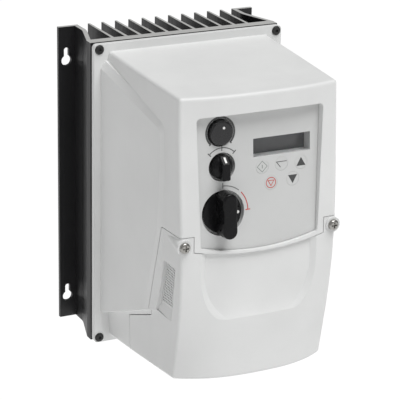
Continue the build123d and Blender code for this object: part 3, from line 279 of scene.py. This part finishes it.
def display_face(name):
    """Unlit character display: dark grey glass with faint lines between its cells."""
    m = Nodes(name)
    lines = m.bricks(300, gap=0.05, width=0.8, height=1.25)
    haze = m.noise(45)
    cells = m.mix(m.ramp(haze, 0, 1), (0.095, 0.097, 0.10), (0.135, 0.137, 0.14))
    m.set(Base_Color=m.mix(lines, cells, m.mix(haze, (0.115, 0.117, 0.12), (0.15, 0.152, 0.155))))
    m.set(Roughness=m.ramp(haze, 0.18, 0.3), IOR=1.5)
    m.set(Normal=m.bump(lines, strength=0.1, distance=0.01))
    return m.material


def gloss_black(name, shade=1.0, gloss=0.5):
    """Polished black moulding with fingerprints in its gloss."""
    m = Nodes(name)
    smear = m.noise(130, detail=5, rough=0.6)
    m.set(Base_Color=m.mix(m.ramp(smear, 0, 1), tint((0.010, 0.010, 0.011), shade),
                           tint((0.018, 0.018, 0.019), shade)))
    m.set(Roughness=m.ramp(smear, 0.20, 0.34), IOR=1.5, Specular_IOR_Level=gloss)
    peel = m.noise(1500, detail=2)
    m.set(Normal=m.bump(peel, strength=0.12, distance=0.02, normal=m.soft_edges(0.4)))
    return m.material


WHITE_PLASTIC = (0.74, 0.745, 0.74)
FILM_GREY = (0.60, 0.605, 0.60)
HOUSING_EDGE = 0.7            # mm radius that softens the housing's and the cover's edges
sink_low, sink_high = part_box("heatsink")
looks = {
    "sink_paint": painted_metal("look_sink", (0.012, 0.012, 0.013), worn=(0.022, 0.022, 0.023),
                                sawn=(0.50, 0.50, 0.49), low=sink_low.z, high=sink_high.z),
    "gasket_rubber": rubber("look_gasket", (0.02, 0.02, 0.02)),
    "housing_plastic": moulded_plastic("look_housing", WHITE_PLASTIC, edge=HOUSING_EDGE),
    "cover_plastic": moulded_plastic("look_cover", tint(WHITE_PLASTIC, 0.985), edge=HOUSING_EDGE),
    "grille_plastic": moulded_plastic("look_grille", tint(WHITE_PLASTIC, 0.97)),
    "screw_steel": turned_metal("look_screw", (0.40, 0.39, 0.37)),
    "plug_plastic": moulded_plastic("look_plug", (0.02, 0.02, 0.02), rough=0.5, spread=0.2),
    "insert_brass": turned_metal("look_brass", (0.78, 0.57, 0.25)),
    "film_plastic": film("look_film", FILM_GREY),
    "window_clear": clear_window("look_window"),
    "display_dark": display_face("look_display"),
    "key_plastic": film("look_key", tint(FILM_GREY, 0.985)),
    "knob_black": gloss_black("look_knob"),
    "shaft_steel": turned_metal("look_shaft", (0.62, 0.62, 0.62)),
    "switch_plastic": moulded_plastic("look_switch", (0.05, 0.05, 0.055), rough=0.45, spread=0.15),
    "potentiometer_metal": turned_metal("look_pot", (0.6, 0.6, 0.58), rough=0.35),
    "board_green": board("look_board", (0.012, 0.09, 0.035), track=(0.02, 0.15, 0.06)),
    "module_body": moulded_plastic("look_module", (0.07, 0.065, 0.06), rough=0.55, spread=0.15),
    "pad_grey": rubber("look_pad", (0.35, 0.37, 0.4)),
    "pillar_brass": turned_metal("look_pillar", (0.75, 0.68, 0.5)),
    "capacitor_sleeve": moulded_plastic("look_capacitor", (0.02, 0.025, 0.05), rough=0.3, spread=0.2),
    "ferrite": rubber("look_ferrite", (0.05, 0.05, 0.052)),
    "copper_wire": turned_metal("look_copper", (0.72, 0.30, 0.12), lines=2600),
    "relay_case": moulded_plastic("look_relay", (0.5, 0.5, 0.46), rough=0.4),
    "terminal_green": moulded_plastic("look_terminal", (0.03, 0.035, 0.035), rough=0.5, spread=0.2),
    "chip_black": moulded_plastic("look_chip", (0.015, 0.015, 0.016), rough=0.5, spread=0.2),
    "socket_metal": turned_metal("look_socket", (0.66, 0.66, 0.66)),
    "ribbon_grey": moulded_plastic("look_ribbon", (0.35, 0.36, 0.38), rough=0.5),
}
for entry in frame["record"]["subparts"]:
    mesh = nodes[entry["node"]].data
    mesh.materials.clear()
    mesh.materials.append(looks[entry["material_slot"]])
# The selector and the isolator handle are a deeper, less glossy black than the speed knob.
deep_black = gloss_black("look_deep_black", shade=0.5, gloss=0.16)
for name in ("selector_knob", "isolator_handle"):
    nodes[name].data.materials[0] = deep_black


# ---------------------------------------------------------------- piece helpers
def new_piece(name, mesh_builder, material, body):
    """Mesh object made by a bmesh function, riding on a CAD body."""
    bm = bmesh.new()
    mesh_builder(bm)
    bmesh.ops.recalc_face_normals(bm, faces=bm.faces)
    mesh = bpy.data.meshes.new(name)
    bm.to_mesh(mesh)
    bm.free()
    mesh.materials.append(material)
    piece = bpy.data.objects.new(name, mesh)
    collection.objects.link(piece)
    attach(piece, body)
    return piece


# The keypad panel leans, so everything printed on it is placed in the panel's own directions.
joints = {joint["name"]: joint for joint in frame["record"]["behaviour"]["joints"]}
ACROSS = Vector((1, 0, 0))
PANEL_OUT = Vector(joints["speed_turn"]["axis"]).normalized()
PANEL_UP = PANEL_OUT.cross(ACROSS)
PANEL_FACE = PANEL_OUT * PANEL_OUT.dot(Vector(joints["speed_turn"]["pos_m"]))

PRINT_LIFT = 0.004            # ink stands this far over the film, key or knob under it
INK_THICK = 0.03


def spot(x, up, lift):
    """Point from its x, its distance up the panel and its height over the panel's face, in mm."""
    return PANEL_FACE + (ACROSS * x + PANEL_UP * up + PANEL_OUT * lift) * MM


def middle(node):
    """Centre of a CAD node seen square to the panel, (x, up) in mm."""
    low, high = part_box(node)
    centre = (low + high) / 2
    return (centre.x / MM, centre.dot(PANEL_UP) / MM)


def front_lift(node):
    """Height of a CAD node's foremost point over the panel's face, in mm."""
    own = nodes[node]
    reach = max((own.matrix_world @ v.co).dot(PANEL_OUT) for v in own.data.vertices)
    return (reach - PANEL_FACE.dot(PANEL_OUT)) / MM


def around(centre, radius, angle):
    """Point on a circle, at an angle in degrees clockwise from straight up."""
    return (centre[0] + radius * sin(radians(angle)), centre[1] + radius * cos(radians(angle)))


def prism(bm, outline, lift=PRINT_LIFT):
    """Closed layer of ink on the panel. The outline is (x, up), lift is its back, all in mm."""
    back, face = [[bm.verts.new(spot(x, up, height)) for x, up in outline]
                  for height in (lift, lift + INK_THICK)]
    bm.faces.new(back)
    bm.faces.new(list(reversed(face)))
    count = len(outline)
    for i in range(count):
        j = (i + 1) % count
        bm.faces.new((back[i], back[j], face[j], face[i]))


def strip(bm, left, right, closed=False):
    """Ribbon of ink between two rows of (x, up) points, as a closed solid."""
    back, face = PRINT_LIFT, PRINT_LIFT + INK_THICK
    rings = []
    for a, b in zip(left, right):
        rings.append([bm.verts.new(spot(x, up, lift))
                      for (x, up), lift in ((a, back), (b, back), (b, face), (a, face))])
    last = len(rings) if closed else len(rings) - 1
    for i in range(last):
        a, b = rings[i], rings[(i + 1) % len(rings)]
        for k in range(4):
            bm.faces.new((a[k], a[(k + 1) % 4], b[(k + 1) % 4], b[k]))
    if not closed:
        bm.faces.new(rings[0])
        bm.faces.new(list(reversed(rings[-1])))


ARC_STEP, ARC_STEPS_LEAST = 4, 12     # degrees, and a count for short arcs


def arc(bm, centre, radius, width, start=0, end=360):
    """Printed arc or ring. Angles run clockwise from straight up, in degrees."""
    sweep = end - start
    ring = sweep >= 360
    steps = max(ARC_STEPS_LEAST, int(sweep / ARC_STEP))
    angles = [start + sweep * i / steps for i in range(steps if ring else steps + 1)]
    inner, outer = [[around(centre, r, angle) for angle in angles]
                    for r in (radius - width / 2, radius + width / 2)]
    strip(bm, inner, outer, closed=ring)


def line(bm, start, end, width):
    """Printed straight line with square ends."""
    start, end = Vector(start), Vector(end)
    along = (end - start).normalized()
    side = Vector((-along.y, along.x)) * width / 2
    prism(bm, [start + side, start - side, end - side, end + side])


def tick(bm, centre, angle, inner, outer, width):
    """Printed line that points at a centre, between two distances from it."""
    line(bm, around(centre, inner, angle), around(centre, outer, angle), width)


MITRE_LIMIT = 0.35            # a sharper corner's point is cut back to this share


def polyline(bm, points, width, closed=False):
    """Printed outline with mitred corners."""
    points = [Vector(point) for point in points]
    count = len(points)
    left, right = [], []
    for i, here in enumerate(points):
        ways = []
        if i or closed:
            ways.append((here - points[i - 1]).normalized())
        if i < count - 1 or closed:
            ways.append((points[(i + 1) % count] - here).normalized())
        sides = [Vector((-way.y, way.x)) for way in ways]
        side = sum(sides, Vector((0, 0))).normalized()
        side = side * (width / 2) / max(MITRE_LIMIT, side.dot(sides[0]))
        left.append(here + side)
        right.append(here - side)
    strip(bm, left, right, closed)


dark_ink = ink("look_dark_ink", (0.06, 0.062, 0.062))
grey_ink = ink("look_grey_ink", (0.18, 0.18, 0.18))
red_ink = ink("look_red_ink", (0.52, 0.05, 0.035))
green_ink = ink("look_green_ink", (0.20, 0.24, 0.21))
white_paint = ink("look_white_paint", (0.82, 0.82, 0.80))

speed_at = middle("speed_shaft")
selector_at = middle("selector_shaft")
isolator_at = middle("isolator_shaft")


# ---------------------------------------------------------------- printed dials
def speed_marks(bm):
    """Thick arc over the knob's whole turn, with a short bar across each end."""
    start, end = joints["speed_turn"]["range_deg"]
    arc(bm, speed_at, radius=10.8, width=1.3, start=start, end=end)
    for angle in (start, end):
        tick(bm, speed_at, angle, inner=10.3, outer=12.0, width=0.9)


SELECTOR_ARC_CUT = 2          # degrees by which the thin arc stops short of the end marks


def selector_marks(bm):
    """Thin arc with a long mark for the middle position and a thicker one at each end."""
    start, end = joints["selector_turn"]["range_deg"]
    arc(bm, selector_at, radius=13.6, width=0.6, start=start + SELECTOR_ARC_CUT,
        end=end - SELECTOR_ARC_CUT)
    tick(bm, selector_at, 0, inner=11.4, outer=16.0, width=0.6)
    for angle in (start, end):
        tick(bm, selector_at, angle, inner=11.8, outer=15.2, width=0.7)


ISOLATOR_ARC_R = 19.3
ISOLATOR_STROKE = 0.7
ISOLATOR_MARK_START = 17.4


def isolator_grey_marks(bm):
    """Upper half of the dial, from the mark straight above the handle."""
    arc(bm, isolator_at, ISOLATOR_ARC_R, ISOLATOR_STROKE, start=0, end=40)
    tick(bm, isolator_at, 0, ISOLATOR_MARK_START, outer=21.4, width=ISOLATOR_STROKE)


def isolator_red_marks(bm):
    """Lower half of the dial, down to the mark that the handle's nose points at when at rest."""
    arc(bm, isolator_at, ISOLATOR_ARC_R, ISOLATOR_STROKE, start=47, end=89)
    tick(bm, isolator_at, 90, ISOLATOR_MARK_START, outer=21.2, width=ISOLATOR_STROKE)


new_piece("speed_dial_print", speed_marks, dark_ink, "housing")
new_piece("selector_dial_print", selector_marks, dark_ink, "housing")
new_piece("isolator_grey_print", isolator_grey_marks, grey_ink, "housing")
new_piece("isolator_red_print", isolator_red_marks, red_ink, "housing")


# ---------------------------------------------------------------- marks on the knobs
def dot(bm, centre, radius, lift):
    """Round spot of paint on a face that stands this high over the panel's face."""
    sides = 24
    prism(bm, [around(centre, radius, 360 * i / sides) for i in range(sides)], lift + PRINT_LIFT)


def speed_dot(bm):
    """Spot on the upper part of the speed knob's face."""
    dot(bm, (speed_at[0] + 1.5, speed_at[1] + 3.5), radius=0.95, lift=front_lift("speed_knob"))


NOSE_LIFT = 2.3               # mm from the panel's face to the face of the isolator's nose


def isolator_dot(bm):
    """Spot on the nose of the isolator's handle."""
    dot(bm, (isolator_at[0] + 10.3, isolator_at[1]), radius=1.1, lift=NOSE_LIFT)


# The upper end of the selector's grip slopes from its foot to its ridge, (up, out) in mm from
# the knob's axis and the panel's face.
GRIP_FOOT = Vector((8.6, 2.6))
GRIP_RIDGE = Vector((3.2, 7.9))
STRIPE_START, STRIPE_END = 1.5, 6.1       # along the slope from its foot
STRIPE_BACK, STRIPE_FACE = 0.01, 0.05     # over the slope
STRIPE_WIDTH = 1.5


def selector_line(bm):
    """Stripe down the slope at the upper end of the selector's grip."""
    slope = (GRIP_RIDGE - GRIP_FOOT).normalized()
    away = Vector((slope.y, -slope.x))
    edges = []
    for reach, rise in ((STRIPE_START, STRIPE_BACK), (STRIPE_END, STRIPE_BACK),
                        (STRIPE_END, STRIPE_FACE), (STRIPE_START, STRIPE_FACE)):
        up, out = GRIP_FOOT + slope * reach + away * rise
        edges.append([bm.verts.new(spot(selector_at[0] + side * STRIPE_WIDTH / 2,
                                        selector_at[1] + up, out)) for side in (-1, 1)])
    for i in range(4):
        (a, b), (c, d) = edges[i], edges[(i + 1) % 4]
        bm.faces.new((a, b, d, c))
    for end in (0, 1):
        bm.faces.new([edge[end] for edge in edges])


new_piece("speed_knob_dot", speed_dot, white_paint, "speed_knob_body")
new_piece("isolator_handle_dot", isolator_dot, white_paint, "isolator_handle_body")
new_piece("selector_knob_line", selector_line, white_paint, "selector_knob_body")


# ---------------------------------------------------------------- key symbols
def key_symbol(name, material, draw):
    """Symbol printed on a key, which rides with that key."""
    x, up = middle(name)
    new_piece(name + "_symbol", lambda bm: draw(bm, x, up), material, name + "_body")


def start_symbol(bm, x, up):
    """Short upright bar in a diamond."""
    reach, bar = 3.9, 1.3
    diamond = [(x - reach, up), (x, up + reach), (x + reach, up), (x, up - reach)]
    polyline(bm, diamond, width=0.42, closed=True)
    line(bm, (x, up - bar), (x, up + bar), width=0.55)


def stop_symbol(bm, x, up):
    """Triangle that points down, in a ring."""
    half, top, tip = 2.3, 1.6, 2.3
    arc(bm, (x, up), radius=3.7, width=0.55)
    polyline(bm, [(x - half, up + top), (x + half, up + top), (x, up - tip)], width=0.5, closed=True)


def navigate_symbol(bm, x, up):
    """Open outline: a stroke up to the left, then a level one to the right."""
    top = up + 1.4
    polyline(bm, [(x - 0.8, up - 2.6), (x - 4.0, top), (x + 4.2, top)], width=0.5)


def arrow_symbol(way):
    """Drawing function of a solid triangle that points up for a way of 1 and down for -1."""
    half, base, tip = 3.6, 2.7, 3.5

    def draw(bm, x, up):
        prism(bm, [(x - half, up - base * way), (x + half, up - base * way), (x, up + tip * way)])
    return draw


key_symbol("key_start", green_ink, start_symbol)
key_symbol("key_stop", red_ink, stop_symbol)
key_symbol("key_navigate", dark_ink, navigate_symbol)
key_symbol("key_up", dark_ink, arrow_symbol(1))
key_symbol("key_down", dark_ink, arrow_symbol(-1))

# ---------------------------------------------------------------- mesh in the cover's side windows
# Edges of the meshed part and of the sloping lip under it, each as its back and front end, (y, z)
# in mm.
MESH_TOP = ((-150.8, -13.8), (-167.3, -15.0))
MESH_LOW = ((-142.4, -48.6), (-161.8, -48.0))
LIP_LOW = ((-139.4, -55.4), (-160.5, -56.4))
MESH_COLUMNS, MESH_ROWS = 7, 15
MESH_RIM = 0.045              # plain border beside the first and last holes, as a share
HOLE_SHARE = 0.62             # part of each pitch that is open
PLATE_THICK = 1.6
LIP_INSET = 0.05              # the lip's outer edge stays this far inside the CAD lip's


def breaks(count):
    """Shares from 0 to 1 at which holes start and end along one direction."""
    pitch = (1 - 2 * MESH_RIM) / count
    marks = [0.0]
    for i in range(count):
        start = MESH_RIM + (i + (1 - HOLE_SHARE) / 2) * pitch
        marks += [start, start + HOLE_SHARE * pitch]
    return marks + [1.0]


def between(ends, share):
    """Point (y, z) at a share of the way along an edge."""
    return Vector(ends[0]).lerp(Vector(ends[1]), share)


def skin(bm, rows):
    """Both faces of every solid cell of a grid, and a wall wherever a cell ends.

    Rows hold the grid's crossings as (inner, outer) vertices. Every second cell of every second
    row is a hole, apart from the last row, which is the lip."""
    last_row, last_column = len(rows) - 1, len(rows[0]) - 1

    def solid(j, i):
        inside = 0 <= j < last_row and 0 <= i < last_column
        hole = j % 2 == 1 and i % 2 == 1 and j < last_row - 1
        return inside and not hole

    for j in range(last_row):
        for i in range(last_column):
            if not solid(j, i):
                continue
            ring = [rows[j][i], rows[j][i + 1], rows[j + 1][i + 1], rows[j + 1][i]]
            for layer in (0, 1):
                bm.faces.new([corner[layer] for corner in ring])
            beyond = ((j - 1, i), (j, i + 1), (j + 1, i), (j, i - 1))
            for k, (next_j, next_i) in enumerate(beyond):
                if not solid(next_j, next_i):
                    a, b = ring[k], ring[(k + 1) % 4]
                    bm.faces.new((a[0], b[0], b[1], a[1]))


def mesh_window(node, way):
    """Plate pierced by a leaning grid of holes, with a lip that slopes out along its lower edge."""
    low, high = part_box(node)
    inner, outer = sorted((abs(low.x) / MM, abs(high.x) / MM))
    across = breaks(MESH_COLUMNS)

    def draw(bm):
        def crossing(place, face):
            return [bm.verts.new((way * x * MM, place.x * MM, place.y * MM)) for x in (inner, face)]

        rows = []
        for share in breaks(MESH_ROWS):
            rows.append([crossing(between(MESH_TOP, along).lerp(between(MESH_LOW, along), share),
                                  inner + PLATE_THICK) for along in across])
        rows.append([crossing(between(LIP_LOW, along), outer - LIP_INSET) for along in across])
        skin(bm, rows)

    piece = new_piece(node + "_mesh", draw, looks["grille_plastic"], "cover")
    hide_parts(node)


mesh_window("side_grille_left", -1)
mesh_window("side_grille_right", 1)

# ---------------------------------------------------------------- floor
FLOOR_DROP = 0.45             # the drive hangs on a wall, well above the floor
FLOOR_REACH = 6.0


def floor_look():
    """Even white that glows a little, so that the floor fades into the background."""
    m = Nodes("look_floor")
    m.set(Base_Color=m.mix(m.ramp(m.noise(3), 0, 1), (0.95, 0.95, 0.95), (0.97, 0.97, 0.97)))
    m.set(Roughness=m.ramp(m.noise(40, detail=2), 0.75, 0.85))
    m.set(Emission_Color=(1, 1, 1, 1), Emission_Strength=0.07)
    return m.material


def add_floor():
    """Level square centred under the drive."""
    bm = bmesh.new()
    corners = [(-1, -1), (1, -1), (1, 1), (-1, 1)]
    bm.faces.new([bm.verts.new((x * FLOOR_REACH, y * FLOOR_REACH, cad_low.z - FLOOR_DROP))
                  for x, y in corners])
    mesh = bpy.data.meshes.new("floor")
    bm.to_mesh(mesh)
    bm.free()
    mesh.materials.append(floor_look())
    floor = bpy.data.objects.new("floor", mesh)
    collection.objects.link(floor)


add_floor()


# ---------------------------------------------------------------- light
def add_world(strength):
    """Even white light from all sides."""
    world = bpy.data.worlds.new("world")
    scene.world = world
    world.use_nodes = True
    inputs = world.node_tree.nodes["Background"].inputs
    inputs["Color"].default_value = (1, 1, 1, 1)
    inputs["Strength"].default_value = strength


def add_light(name, data, place, target):
    """Light object at a place, turned towards a target."""
    light = bpy.data.objects.new(name, data)
    light.location = place
    light.rotation_euler = (Vector(target) - Vector(place)).to_track_quat("-Z", "Y").to_euler()
    collection.objects.link(light)


def sun(name, direction, strength, angle):
    """Distant soft light. The direction points from the object to the light."""
    data = bpy.data.lights.new(name, "SUN")
    data.energy = strength
    data.angle = radians(angle)
    add_light(name, data, direction, (0, 0, 0))


def softbox(name, place, size, power):
    """Rectangular studio light that faces the drive."""
    data = bpy.data.lights.new(name, "AREA")
    data.shape = "RECTANGLE"
    data.size, data.size_y = size
    data.energy = power
    add_light(name, data, place, (0, -0.1, 0))


scene.view_settings.view_transform = "Standard"
add_world(strength=0.24)
sun("key_sun", direction=(0.15, -0.36, 0.85), strength=2.7, angle=40)
softbox("left_box", place=(-1.2, -1.3, 0.7), size=(0.5, 0.9), power=1.0)
